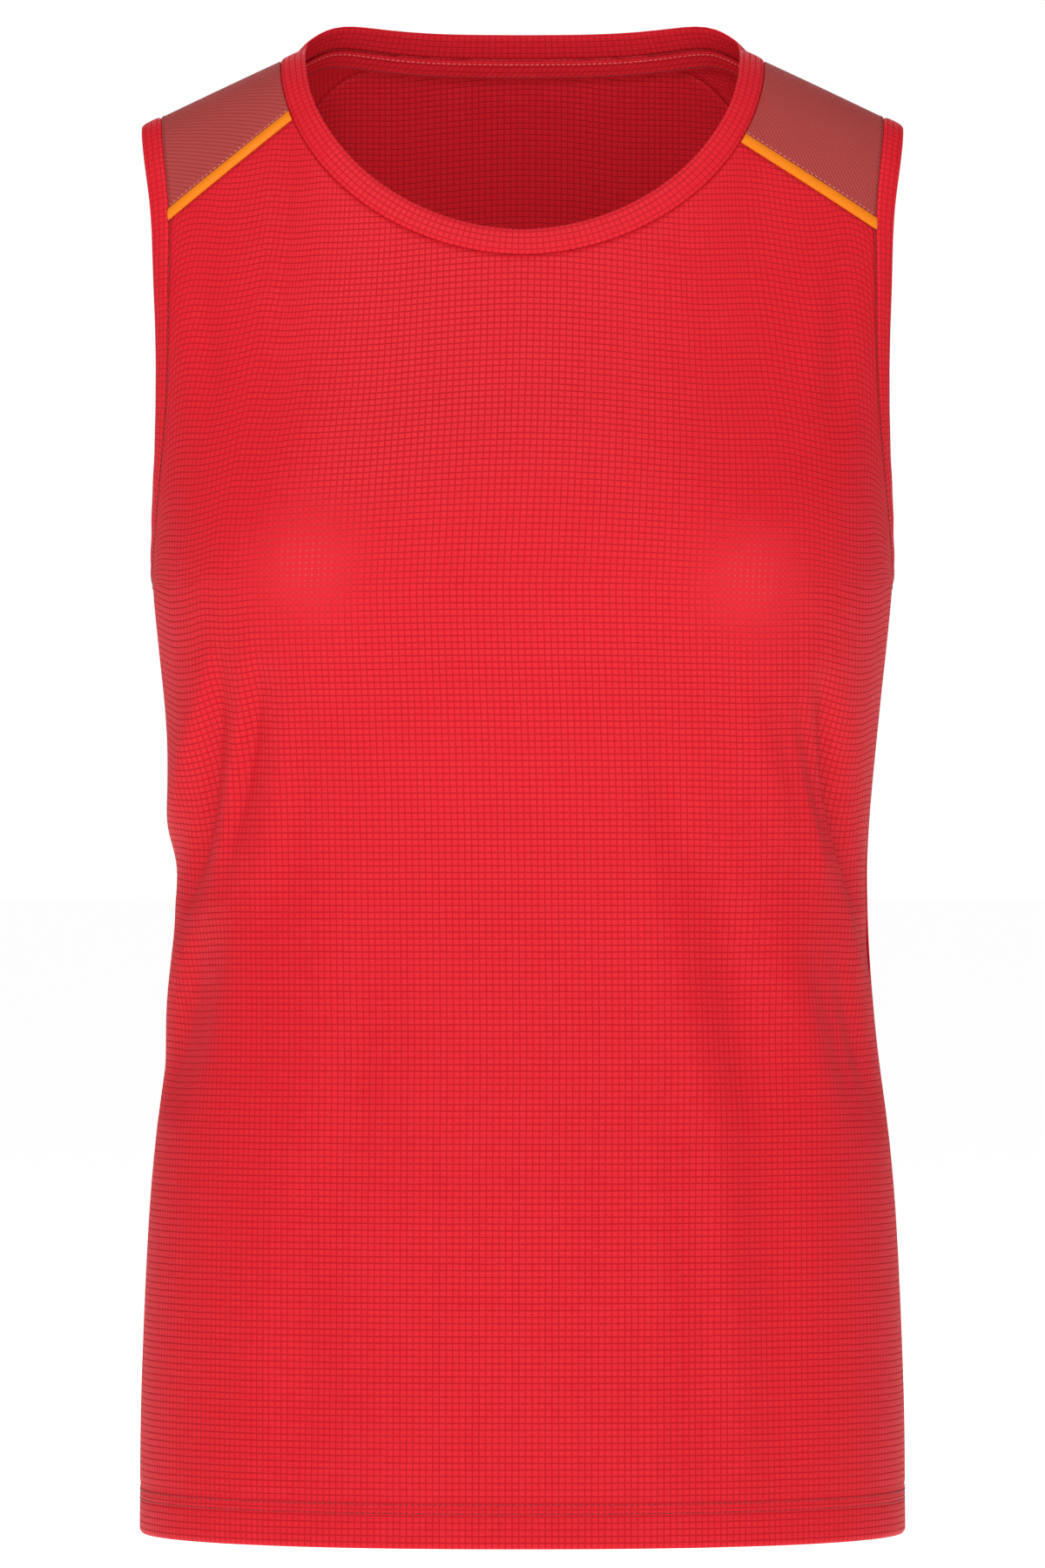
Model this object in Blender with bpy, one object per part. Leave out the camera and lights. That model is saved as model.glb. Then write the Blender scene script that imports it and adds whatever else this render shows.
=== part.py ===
"""Running singlet: a sleeveless top, filled out and hollow, open at neck, armholes and hem.

The front faces -Y and +Z is up. The origin lies between the places under the two shoulders
where the wearer holds the top up. Sizes are in millimetres here and turned to metres when a
piece becomes a mesh. One smooth surface is worked out from the tables below, and every cut
piece is a wall on its own part of that surface.
"""
from functools import cache
from math import acos, asin, cos, exp, hypot, pi, sin

import bmesh
import bpy
from mathutils import Vector

MM = 0.001
FRONT = -1
BACK = 1
LEFT = 1
RIGHT = -1

# Cloth and trims.
CLOTH_THICK = 1.2
HEM_THICK = 2.4
HEM_DEPTH = 20.0
SEAM_GAP = 0.3
NECKBAND_WIDTH = 11.5
ARMBAND_WIDTH = 9.5
PIPING_DROP = 4.8
TAPE_WIDTH = 9.0
TAPE_THICK = 1.0
TAPE_SET_IN = 3.0
TAPE_TURN = 1.42

# Heights on the garment.
HEM = -599.0
ARMHOLE_FOOT = -206.0
SHOULDER_TIP = -10.6

# Body sections from hem to neck. Above the foot of the armhole the cloth stops at the armhole
# seam, short of the section's half width. Square is the power of a section's superellipse.
SECTIONS = (
    # height, half_width, armhole, front, back, square
    (-599.0, 159.5, 159.5, 111.0, 105.0, 2.25),
    (-540.0, 158.8, 158.8, 110.0, 104.0, 2.25),
    (-470.0, 155.7, 155.7, 108.0, 102.0, 2.25),
    (-433.0, 152.5, 152.5, 106.0, 100.0, 2.25),
    (-397.0, 147.9, 147.9, 104.0, 97.0, 2.25),
    (-360.0, 144.7, 144.7, 102.0, 94.0, 2.30),
    (-325.0, 143.7, 143.7, 101.0, 92.0, 2.35),
    (-295.0, 145.2, 145.2, 103.0, 93.0, 2.40),
    (-259.0, 148.5, 148.5, 108.0, 97.0, 2.50),
    (-230.0, 151.4, 151.4, 112.0, 100.0, 2.60),
    (-206.0, 153.4, 153.4, 114.5, 103.0, 2.65),
    (-180.0, 154.0, 151.4, 114.0, 105.0, 2.60),
    (-150.0, 155.6, 148.8, 108.0, 106.0, 2.50),
    (-121.0, 158.2, 147.0, 98.0, 105.0, 2.40),
    (-85.0, 163.0, 146.4, 85.5, 101.0, 2.30),
    (-50.0, 169.0, 146.6, 76.0, 92.0, 2.30),
    (-10.6, 184.0, 150.3, 68.0, 80.0, 2.30),
    (20.0, 184.0, 150.3, 64.0, 69.0, 2.30),
    (60.0, 184.0, 150.3, 62.0, 62.0, 2.30),
)
# Shoulder: a straight slope from the neck point to the tip, steeper towards the neck.
NECK_HALF = 101.0
NECK_POINT = 13.0
SHOULDER_SLOPE = 0.495
SHOULDER_ROUND = 40.0
NECK_RISE = 15.0
NECK_RISE_OVER = 14.2
CAP_HEIGHT = 100.0
LIFT_FROM = -150.0

# Neckline: how far the front falls below the neck points and how far the back lies behind.
NECK_DROP = 84.4
NECK_POWER = 1.93
BACK_NECK_REACH = 52.0

# Yoke seams. In front they run straight from the neckline to the armhole.
YOKE_SEAMS = {
    # side: neck_x, neck_height, arm_height
    RIGHT: (96.3, -9.8, -50.4),
    LEFT: (92.1, -20.0, -54.2),
}
BACK_YOKE_DROP = 30.0

# General fullness of the front over the bust.
BUST_X = 88.0
BUST_HEIGHT = -190.0
BUST_SPREAD = 42.0
BUST_FULLNESS = 5.0

# Largest folds: soft troughs with a low ridge beside them, from top to bottom.
FOLDS = (
    # face, top_x, top_height, low_x, low_height, spread, depth
    (FRONT, -121.0, -236.0, -138.0, -340.0, 7.0, 3.4),
    (FRONT, -106.0, -236.0, -118.0, -316.0, 9.0, 2.2),
    (FRONT, -126.0, -338.0, -146.0, -428.0, 8.0, 2.4),
    (FRONT, 122.0, -240.0, 139.0, -342.0, 7.0, 3.2),
    (FRONT, 107.0, -246.0, 127.0, -318.0, 9.0, 2.0),
    (FRONT, 76.0, -310.0, 95.0, -430.0, 13.0, 2.0),
    (FRONT, 120.0, -345.0, 145.0, -436.0, 8.0, 2.0),
    (BACK, -104.0, -180.0, -132.0, -330.0, 9.0, 3.0),
    (BACK, 98.0, -196.0, 130.0, -338.0, 10.0, 3.2),
    (BACK, -58.0, -236.0, -74.0, -372.0, 14.0, 2.2),
    (BACK, 46.0, -260.0, 58.0, -402.0, 15.0, 2.0),
)

# Section of a folded band: share of its width from the seam, and height off the cloth.
BAND_PROFILE = (
    # share, out
    (0.00, 0.1),
    (0.25, 0.6),
    (0.70, 0.6),
    (0.93, 0.2),
    (1.00, -0.6),
    (0.93, -1.4),
    (0.70, -1.8),
    (0.25, -1.8),
    (0.00, -1.3),
)

# Fineness of the mesh.
BODY_ROWS = 15
CHEST_ROWS = 12
NECK_COLUMNS = 14
STRAP_SHARES = (0.0, 0.09, 0.22, 0.42, 0.70, 1.0)
YOKE_ROWS = 10
TAPE_COLUMNS = 20
TAPE_LOOK = 0.02
FOOT_TURN = 2.2
SEAM_INSET = 0.5 * SEAM_GAP
SHARP_ANGLE = 0.8
SOLVE_STEPS = 30

COLOURS = {
    # name: red, green, blue, roughness
    "grid_knit": (0.690, 0.022, 0.033, 0.62),
    "yoke_knit": (0.370, 0.052, 0.050, 0.70),
    "orange_piping": (0.900, 0.235, 0.012, 0.45),
}


def between(rows, column, height):
    """Read one column of a table at a height, on a smooth curve through its rows."""
    last = len(rows) - 1
    if height <= rows[0][0]:
        return rows[0][column]
    if height >= rows[last][0]:
        return rows[last][column]
    row = max(index for index in range(last) if rows[index][0] <= height)
    low, high = rows[row], rows[row + 1]
    before, after = rows[max(row - 1, 0)], rows[min(row + 2, last)]
    step = high[0] - low[0]
    share = (height - low[0]) / step
    slope_low = (high[column] - before[column]) / (high[0] - before[0]) * step
    slope_high = (after[column] - low[column]) / (after[0] - low[0]) * step
    rise = high[column] - low[column]
    curve = 3.0 * rise - 2.0 * slope_low - slope_high
    bend = slope_low + slope_high - 2.0 * rise
    return low[column] + share * (slope_low + share * (curve + share * bend))


def solve(above, low, high):
    """Find where a rising test turns true between two values."""
    for _ in range(SOLVE_STEPS):
        middle = 0.5 * (low + high)
        if above(middle):
            high = middle
        else:
            low = middle
    return 0.5 * (low + high)


def steps(start, end, count):
    """Evenly spaced values from start up to, but not including, end."""
    return [start + (end - start) * index / count for index in range(count)]


def ridge(x):
    """Height of the shoulder line above a place across the body."""
    inward = hypot(NECK_HALF, SHOULDER_ROUND) - hypot(x, SHOULDER_ROUND)
    rise = NECK_RISE * (1.0 - exp(-(max(inward, 0.0) / NECK_RISE_OVER) ** 2))
    return NECK_POINT + SHOULDER_SLOPE * inward + rise


def lifted(x, level):
    """True height of a row: rows are level below the chest and climb with the shoulder above."""
    share = min(max((level - LIFT_FROM) / (SHOULDER_TIP - LIFT_FROM), 0.0), 1.0)
    lift = share * share * (3.0 - 2.0 * share)
    return level + lift * (ridge(x) - SHOULDER_TIP)


def cap_angle(level):
    """Angle over the shoulder: 0 on the ridge, a quarter turn at the foot of the cap."""
    drop = (SHOULDER_TIP - level) / CAP_HEIGHT
    if drop < 1.0:
        return acos(1.0 - max(drop, 0.0))
    return pi / 2 + drop - 1.0


def cap_level(angle):
    """Row level at an angle over the shoulder."""
    angle = abs(angle)
    if angle < pi / 2:
        return SHOULDER_TIP - CAP_HEIGHT * (1.0 - cos(angle))
    return SHOULDER_TIP - CAP_HEIGHT * (1.0 + angle - pi / 2)


def depth_of(face, height):
    """Depth of the section in front of or behind the side seams."""
    return between(SECTIONS, 3 if face == FRONT else 4, height)


@cache
def square_of(level):
    """Power of the section's superellipse."""
    return between(SECTIONS, 5, level)


@cache
def half_width(level):
    """Half width of the whole section."""
    return between(SECTIONS, 1, level)


@cache
def armhole_x(level):
    """Half width at which the cloth ends: the side seam, or the armhole seam above its foot."""
    return half_width(level) if level <= ARMHOLE_FOOT else between(SECTIONS, 2, level)


def fullness(face, x, height):
    """How far the cloth stands off the plain section: bust fullness and the folds."""
    out = 0.0
    if face == FRONT:
        away = ((abs(x) - BUST_X) ** 2 + (height - BUST_HEIGHT) ** 2) / BUST_SPREAD ** 2
        out += BUST_FULLNESS * exp(-away)
    for fold_face, top_x, top, low_x, low, spread, depth in FOLDS:
        if fold_face != face:
            continue
        run = Vector((low_x - top_x, low - top))
        here = Vector((x - top_x, height - top))
        share = here.dot(run) / run.length_squared
        if 0.0 < share < 1.0:
            across = (here.x * run.y - here.y * run.x) / run.length / spread
            trough = 0.5 * exp(-(across - 1.7) ** 2) - exp(-across ** 2)
            out += depth * sin(pi * share) * trough
    return out


def smooth_place(face, turn, angle):
    """Place on the plain section from the turn round the body and the angle over the shoulder."""
    level = cap_level(angle)
    power = 2.0 / square_of(level)
    across = abs(sin(turn)) ** power
    x = half_width(level) * across * (1.0 if turn >= 0.0 else -1.0)
    height = lifted(x, level)
    cap = sin(min(angle, pi / 2))
    y = face * depth_of(face, height) * cap * max(cos(turn), 0.0) ** power
    return Vector((x, y, height))


def outward(place, face, turn, angle):
    """Unit normal of a surface function, pointing out of the garment."""
    step = 0.004
    low_turn, high_turn = max(turn - step, -pi / 2), min(turn + step, pi / 2)
    round_body = place(face, high_turn, angle) - place(face, low_turn, angle)
    up_body = place(face, turn, angle - step) - place(face, turn, angle + step)
    normal = round_body.cross(up_body).normalized()
    return normal if face == FRONT else -normal


def cloth_place(face, turn, angle):
    """Place on the outside of the cloth, with its fullness and folds."""
    smooth = smooth_place(face, turn, angle)
    stand = fullness(face, smooth.x, smooth.z)
    if abs(stand) < 1e-4:
        return smooth
    return smooth + outward(smooth_place, face, turn, angle) * stand


def cloth(face, turn, level):
    """Outside point and normal of the cloth."""
    angle = cap_angle(level)
    return cloth_place(face, turn, angle), outward(cloth_place, face, turn, angle)


def turn_at(x, level):
    """Turn round the section that reaches a place across the body."""
    share = min(abs(x) / half_width(level), 1.0)
    turn = asin(share ** (0.5 * square_of(level)))
    return turn if x >= 0.0 else -turn


def front_neck_height(x):
    """Height of the neck seam in front."""
    share = min(abs(x) / NECK_HALF, 1.0)
    return NECK_POINT - NECK_DROP * (1.0 - share ** NECK_POWER) ** (1.0 / NECK_POWER)


def back_neck_y(x):
    """How far the neck seam lies behind the shoulder ridge."""
    return BACK_NECK_REACH * (1.0 - min(abs(x) / NECK_HALF, 1.0) ** 2) ** 0.5


def level_behind(x, y):
    """Row level of the place on the back that lies a distance behind the shoulder ridge."""
    def nearer(level):
        return smooth_place(BACK, turn_at(x, level), cap_angle(level)).y < y

    return solve(nearer, LIFT_FROM, SHOULDER_TIP)


def in_neck_hole(face, x, level):
    """Whether a place on the surface falls inside the neck seam."""
    if face == FRONT:
        return lifted(x, level) > front_neck_height(x)
    return smooth_place(BACK, turn_at(x, level), cap_angle(level)).y < back_neck_y(x)


@cache
def neck_level(face, x):
    """Row level of the neck seam at a place across the body."""
    return solve(lambda level: in_neck_hole(face, x, level), LIFT_FROM, SHOULDER_TIP)


@cache
def neck_x(face, level):
    """Distance from the middle to the neck seam along a row."""
    return solve(lambda x: not in_neck_hole(face, x, level), 0.0, NECK_HALF)


def yoke_seam_height(face, side, x):
    """Height of a yoke's seam at a place across the shoulder."""
    if face == BACK:
        return ridge(x) - BACK_YOKE_DROP
    neck, neck_height, arm_height = YOKE_SEAMS[side]
    share = (abs(x) - neck) / (armhole_x(arm_height) - neck)
    return neck_height + share * (arm_height - neck_height)


def strap_x(face, share, level):
    """Place across a shoulder strap, from the neck seam to the armhole seam."""
    neck = neck_x(face, level)
    return neck + share * (armhole_x(level) - neck)


@cache
def strap_level(face, side, share, drop):
    """Row level at which a strap meets its yoke's seam, or a line a little below it."""
    def past_seam(level):
        x = strap_x(face, share, level)
        return lifted(x, level) > yoke_seam_height(face, side, x) - drop

    return solve(past_seam, LIFT_FROM, SHOULDER_TIP)


def strap_line(side, share):
    """Places on a yoke over the shoulder, from its front seam to its back seam."""
    start = -cap_angle(strap_level(FRONT, side, share, 0.0))
    end = cap_angle(strap_level(BACK, side, share, 0.0))
    line = []
    for angle in steps(start, end, YOKE_ROWS) + [end]:
        face = FRONT if angle < 0.0 else BACK
        level = cap_level(angle)
        line.append((face, side * strap_x(face, share, level), level))
    return line


def panel_edge(face):
    """Top of every column of a panel, from the wearer's right armhole to the left one."""
    drop = PIPING_DROP if face == FRONT else 0.0
    straps = {}
    for side in (RIGHT, LEFT):
        straps[side] = []
        for share in STRAP_SHARES:
            level = strap_level(face, side, share, drop)
            straps[side].append((face, side * strap_x(face, share, level), level))
    first, last = (asin(straps[side][0][1] / NECK_HALF) for side in (RIGHT, LEFT))
    neck = []
    for turn in steps(first, last, NECK_COLUMNS)[1:]:
        x = NECK_HALF * sin(turn)
        neck.append((face, x, neck_level(face, abs(x))))
    return straps[RIGHT][::-1] + neck + straps[LEFT]


def neck_edge(face):
    """Neckline part of a panel's top, from yoke to yoke."""
    ends = len(STRAP_SHARES) - 1
    return panel_edge(face)[ends:-ends]


def chest_levels(top):
    """Row levels from the armhole's foot to a column's top, closer together round the foot."""
    turns = steps(0.0, FOOT_TURN, CHEST_ROWS) + [FOOT_TURN]
    return [ARMHOLE_FOOT + (top - ARMHOLE_FOOT) * (1.0 - cos(turn)) / (1.0 - cos(FOOT_TURN))
            for turn in turns]


def on_cloth(face, x, level):
    """Outside point and normal of the cloth at a place across the body."""
    return cloth(face, turn_at(x, level), level)


def material(name):
    """Plain material of one cloth or trim."""
    red, green, blue, roughness = COLOURS[name]
    finish = bpy.data.materials.get(name) or bpy.data.materials.new(name)
    finish.use_nodes = True
    shader = finish.node_tree.nodes["Principled BSDF"]
    shader.inputs["Base Color"].default_value = (red, green, blue, 1.0)
    shader.inputs["Roughness"].default_value = roughness
    shader.inputs["Metallic"].default_value = 0.0
    return finish


def add_piece(name, sections, closed, finish):
    """Join section loops into one closed wall: a ring, or a strip with filled ends."""
    work = bmesh.new()
    loops = [[work.verts.new(point * MM) for point in section] for section in sections]
    count = len(loops[0])
    spans = len(loops) if closed else len(loops) - 1
    for index in range(spans):
        here, ahead = loops[index], loops[(index + 1) % len(loops)]
        for side in range(count):
            beside = (side + 1) % count
            work.faces.new((here[side], here[beside], ahead[beside], ahead[side]))
    if not closed:
        for loop in (loops[0], loops[-1]):
            for side in range(count // 2 - 1):
                across = count - 1 - side
                work.faces.new((loop[side], loop[side + 1], loop[across - 1], loop[across]))
    bmesh.ops.recalc_face_normals(work, faces=work.faces)
    mesh = bpy.data.meshes.new(name)
    work.to_mesh(mesh)
    work.free()
    mesh.shade_smooth()
    mesh.set_sharp_from_angle(angle=SHARP_ANGLE)
    mesh.materials.append(material(finish))
    piece = bpy.data.objects.new(name, mesh)
    bpy.context.scene.collection.objects.link(piece)
    return piece


def wall_loop(points, normals, outer, inner):
    """Loop round a wall: along its outside, and back along its inside."""
    outside = [point + normal * out for point, normal, out in zip(points, normals, outer)]
    inside = [point - normal * depth for point, normal, depth in zip(points, normals, inner)]
    return outside + inside[::-1]


def drawn_in(line, amount):
    """Draw the two ends of a line of points in, to leave the seam gap."""
    first = (line[1] - line[0]).normalized() * amount
    last = (line[-2] - line[-1]).normalized() * amount
    return [line[0] + first] + line[1:-1] + [line[-1] + last]


def add_sheet(name, grid, outer, inner, finish):
    """Make a wall from columns of outside points and normals, set back from its seams all round."""
    columns = [drawn_in([point for point, _ in column], SEAM_INSET) for column in grid]
    rows = [drawn_in(list(row), SEAM_INSET) for row in zip(*columns)]
    loops = []
    for index, column in enumerate(grid):
        normals = [normal for _, normal in column]
        loops.append(wall_loop([row[index] for row in rows], normals, outer, inner))
    return add_piece(name, loops, False, finish)


def panel(name, face):
    """Front or back panel, column by column from the turned-up hem to the neck and yoke seams."""
    hem_top = HEM + HEM_DEPTH
    hem_levels = [HEM, HEM + 0.5 * HEM_DEPTH, hem_top, hem_top + 1.5]
    body_levels = steps(hem_top + 14.0, ARMHOLE_FOOT, BODY_ROWS)
    grid = []
    for _, x, top in panel_edge(face):
        share = turn_at(x, top) / turn_at(armhole_x(top), top)
        levels = hem_levels + body_levels + chest_levels(top)
        grid.append([cloth(face, share * turn_at(armhole_x(level), level), level) for level in levels])
    inner = [HEM_THICK if level <= hem_top else CLOTH_THICK for level in levels]
    return add_sheet(name, grid, [0.0] * len(levels), inner, "grid_knit")


def yoke(name, side):
    """Shoulder yoke, wrapped over the shoulder from its front seam to its back seam."""
    grid = []
    for share in STRAP_SHARES:
        grid.append([on_cloth(*place) for place in strap_line(side, share)])
    count = YOKE_ROWS + 1
    return add_sheet(name, grid, [0.0] * count, [CLOTH_THICK] * count, "yoke_knit")


def piping(name, side):
    """Flat piping in the front yoke seam, a little proud of the cloth."""
    grid = []
    for share in STRAP_SHARES:
        levels = [strap_level(FRONT, side, share, PIPING_DROP * row) for row in (0.0, 0.5, 1.0)]
        grid.append([on_cloth(FRONT, side * strap_x(FRONT, share, level), level) for level in levels])
    return add_sheet(name, grid, [0.3, 0.9, 0.3], [CLOTH_THICK] * 3, "orange_piping")


def add_band(name, seam, side, width):
    """Folded band that stands on a closed seam and carries the cloth's line into the opening."""
    loops = []
    for index, (point, normal) in enumerate(seam):
        along = seam[(index + 1) % len(seam)][0] - seam[index - 1][0]
        inward = (normal.cross(along) * side).normalized()
        loops.append([point + inward * (SEAM_GAP + (width - SEAM_GAP) * share) + normal * out
                      for share, out in BAND_PROFILE])
    return add_piece(name, loops, True, "grid_knit")


def neckband(name):
    """Neckband, a closed ring through the panels' and yokes' own seam points."""
    front, back = (neck_edge(face) for face in (FRONT, BACK))
    over_left, over_right = (strap_line(side, 0.0) for side in (LEFT, RIGHT))
    seam = front + over_left[:-1] + back[::-1] + over_right[-2::-1]
    return add_band(name, [on_cloth(*place) for place in seam], 1, NECKBAND_WIDTH)


def armband(name, side):
    """Armhole band, a closed ring through the panels' and the yoke's own seam points."""
    front, back = ([(face, level) for level in chest_levels(panel_edge(face)[side // 2][2])]
                   for face in (FRONT, BACK))
    over = [(face, level) for face, _, level in strap_line(side, 1.0)]
    seam = front + over[:-1] + back[:0:-1]
    points = [cloth(face, turn_at(side * armhole_x(level), level), level) for face, level in seam]
    return add_band(name, points, -side, ARMBAND_WIDTH)


def back_neck_tape(name):
    """Tape inside the back neck seam, made from the cloth's own points moved in."""
    def seam_place(turn):
        x = NECK_HALF * sin(turn)
        return on_cloth(BACK, x, neck_level(BACK, abs(x)))

    grid = []
    for turn in steps(-TAPE_TURN, TAPE_TURN, TAPE_COLUMNS) + [TAPE_TURN]:
        point, normal = seam_place(turn)
        down = normal.cross(seam_place(turn + TAPE_LOOK)[0] - point).normalized()
        reached = [point + down * reach for reach in (SEAM_GAP, 0.5 * TAPE_WIDTH, TAPE_WIDTH)]
        grid.append([on_cloth(BACK, place.x, level_behind(place.x, place.y)) for place in reached])
    return add_sheet(name, grid, [-TAPE_SET_IN] * 3, [TAPE_SET_IN + TAPE_THICK] * 3, "grid_knit")


def build():
    """Remove what the scene holds and make every piece."""
    for item in list(bpy.data.objects):
        bpy.data.objects.remove(item, do_unlink=True)
    panel("front_panel", FRONT)
    panel("back_panel", BACK)
    for word, side in (("left", LEFT), ("right", RIGHT)):
        yoke("yoke_" + word, side)
        piping("piping_" + word, side)
        armband("armband_" + word, side)
    neckband("neckband")
    back_neck_tape("back_neck_tape")


build()
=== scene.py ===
from math import hypot, pi

import bpy
import numpy as np
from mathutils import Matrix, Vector


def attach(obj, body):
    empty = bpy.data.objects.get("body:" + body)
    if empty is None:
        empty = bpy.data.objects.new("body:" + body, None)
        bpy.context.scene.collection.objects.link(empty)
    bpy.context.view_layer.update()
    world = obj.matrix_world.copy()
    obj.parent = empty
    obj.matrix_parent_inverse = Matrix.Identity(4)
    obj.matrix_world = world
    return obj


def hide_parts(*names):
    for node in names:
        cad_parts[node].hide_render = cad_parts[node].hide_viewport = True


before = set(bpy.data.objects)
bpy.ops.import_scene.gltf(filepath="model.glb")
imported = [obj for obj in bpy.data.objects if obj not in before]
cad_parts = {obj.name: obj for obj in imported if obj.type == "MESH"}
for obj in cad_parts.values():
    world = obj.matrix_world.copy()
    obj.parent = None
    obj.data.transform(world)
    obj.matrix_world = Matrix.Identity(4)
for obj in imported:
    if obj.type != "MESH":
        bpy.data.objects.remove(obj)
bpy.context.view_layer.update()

# Camera, floor and studio light. The top hangs free with its hem just above a plain pale floor,
# and a wide soft light from above and in front leaves the sides a little darker.
VIEW_DISTANCE = 4.4
VIEW_HEIGHT = -0.288
VIEW_SPAN = 0.6534
WHITE = (1.0, 1.0, 1.0, 1.0)
AMBIENT = 0.20

scene = bpy.context.scene
camera_data = bpy.data.cameras.new("camera")
camera_data.sensor_fit = "VERTICAL"
camera_data.sensor_height = 24.0
camera_data.lens = camera_data.sensor_height * VIEW_DISTANCE / VIEW_SPAN
camera = bpy.data.objects.new("camera", camera_data)
camera.location = (0.0, -VIEW_DISTANCE, VIEW_HEIGHT)
camera.rotation_euler = (pi / 2, 0.0, 0.0)
scene.collection.objects.link(camera)
scene.camera = camera

world = bpy.data.worlds.new("studio")
world.use_nodes = True
backdrop = world.node_tree.nodes["Background"]
backdrop.inputs["Color"].default_value = WHITE
backdrop.inputs["Strength"].default_value = AMBIENT
seen_white = world.node_tree.nodes.new("ShaderNodeBackground")
seen_white.inputs["Color"].default_value = WHITE
choose = world.node_tree.nodes.new("ShaderNodeMixShader")
ray = world.node_tree.nodes.new("ShaderNodeLightPath")
world.node_tree.links.new(ray.outputs["Is Camera Ray"], choose.inputs[0])
world.node_tree.links.new(backdrop.outputs[0], choose.inputs[1])
world.node_tree.links.new(seen_white.outputs[0], choose.inputs[2])
world.node_tree.links.new(choose.outputs[0], world.node_tree.nodes["World Output"].inputs[0])
scene.world = world
scene.view_settings.view_transform = "Standard"

floor_mesh = bpy.data.meshes.new("floor")
FLOOR_HALF, FLOOR_DROP = 30.0, 0.66
floor_mesh.from_pydata([(-FLOOR_HALF, -FLOOR_HALF, -FLOOR_DROP), (FLOOR_HALF, -FLOOR_HALF, -FLOOR_DROP),
                        (FLOOR_HALF, FLOOR_HALF, -FLOOR_DROP), (-FLOOR_HALF, FLOOR_HALF, -FLOOR_DROP)],
                       [], [(0, 1, 2, 3)])
floor = bpy.data.objects.new("floor", floor_mesh)
scene.collection.objects.link(floor)
floor_paint = bpy.data.materials.new("floor_paint")
floor_paint.use_nodes = True
floor_paint.node_tree.nodes["Principled BSDF"].inputs["Base Color"].default_value = (0.92, 0.92, 0.92, 1.0)
floor_paint.node_tree.nodes["Principled BSDF"].inputs["Roughness"].default_value = 0.9
floor_paint.node_tree.nodes["Principled BSDF"].inputs["Emission Color"].default_value = WHITE
floor_paint.node_tree.nodes["Principled BSDF"].inputs["Emission Strength"].default_value = 0.80
floor_mesh.materials.append(floor_paint)

SOFT_LIGHTS = (
    # name, place, size, watts
    ("key", (-0.7, -2.2, 1.5), 0.8, 29.0),
    ("top", (0.1, -0.8, 1.4), 0.5, 6.0),
    ("fill", (0.9, -2.6, 0.0), 1.2, 8.0),
    ("back", (0.0, 2.6, 1.4), 2.0, 16.0),
)
for light_name, place, size, watts in SOFT_LIGHTS:
    light = bpy.data.lights.new(light_name, "AREA")
    light.size, light.energy = size, watts
    lamp = bpy.data.objects.new(light_name, light)
    lamp.location = place
    lamp.rotation_euler = (Vector((0.0, 0.0, -0.28)) - Vector(place)).to_track_quat("-Z", "Y").to_euler()
    scene.collection.objects.link(lamp)

# Front and back panels: thin red polyester with a fine woven-in grid, cut from hem to neckline
# and yoke seams, joined at the side seams, with the hem turned up 20 mm and twin-stitched.
# One smooth surface is worked out from these tables; sizes are in millimetres until the mesh.
MM = 0.001
FRONT, BACK, LEFT, RIGHT = -1, 1, 1, -1
HEM, HEM_DEPTH = -599.0, 20.0
ARMHOLE_FOOT, SHOULDER_TIP = -206.0, -10.6
PIPING_DROP = 4.8
SEAM_GAP = 0.3
SECTIONS = np.array((
    # height, half_width, armhole, front, back, square
    (-599.0, 159.5, 159.5, 111.0, 105.0, 2.25),
    (-540.0, 158.8, 158.8, 110.0, 104.0, 2.25),
    (-470.0, 155.7, 155.7, 108.0, 102.0, 2.25),
    (-433.0, 152.5, 152.5, 106.0, 100.0, 2.25),
    (-397.0, 147.9, 147.9, 104.0, 97.0, 2.25),
    (-360.0, 144.7, 144.7, 102.0, 94.0, 2.30),
    (-325.0, 143.7, 143.7, 101.0, 92.0, 2.35),
    (-295.0, 145.2, 145.2, 103.0, 93.0, 2.40),
    (-259.0, 148.5, 148.5, 108.0, 97.0, 2.50),
    (-230.0, 151.4, 151.4, 112.0, 100.0, 2.60),
    (-206.0, 153.4, 153.4, 114.5, 103.0, 2.65),
    (-180.0, 154.0, 151.4, 114.0, 105.0, 2.60),
    (-150.0, 155.6, 148.8, 108.0, 106.0, 2.50),
    (-121.0, 158.2, 147.0, 98.0, 105.0, 2.40),
    (-85.0, 163.0, 146.4, 85.5, 101.0, 2.30),
    (-50.0, 169.0, 146.6, 76.0, 92.0, 2.30),
    (-10.6, 184.0, 150.3, 68.0, 80.0, 2.30),
    (20.0, 184.0, 150.3, 64.0, 69.0, 2.30),
    (60.0, 184.0, 150.3, 62.0, 62.0, 2.30),
))
NECK_HALF, NECK_POINT, SHOULDER_SLOPE, SHOULDER_ROUND = 101.0, 13.0, 0.495, 40.0
NECK_RISE, NECK_RISE_OVER = 15.0, 14.2
CAP_HEIGHT, LIFT_FROM = 100.0, -150.0
NECK_DROP, NECK_POWER, BACK_NECK_REACH = 84.4, 1.93, 52.0
YOKE_SEAMS = {RIGHT: (96.3, -9.8, -50.4), LEFT: (92.1, -20.0, -54.2)}
BACK_YOKE_DROP = 30.0
BUST_X, BUST_HEIGHT, BUST_SPREAD, BUST_FULLNESS = 88.0, -190.0, 42.0, 5.0
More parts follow.
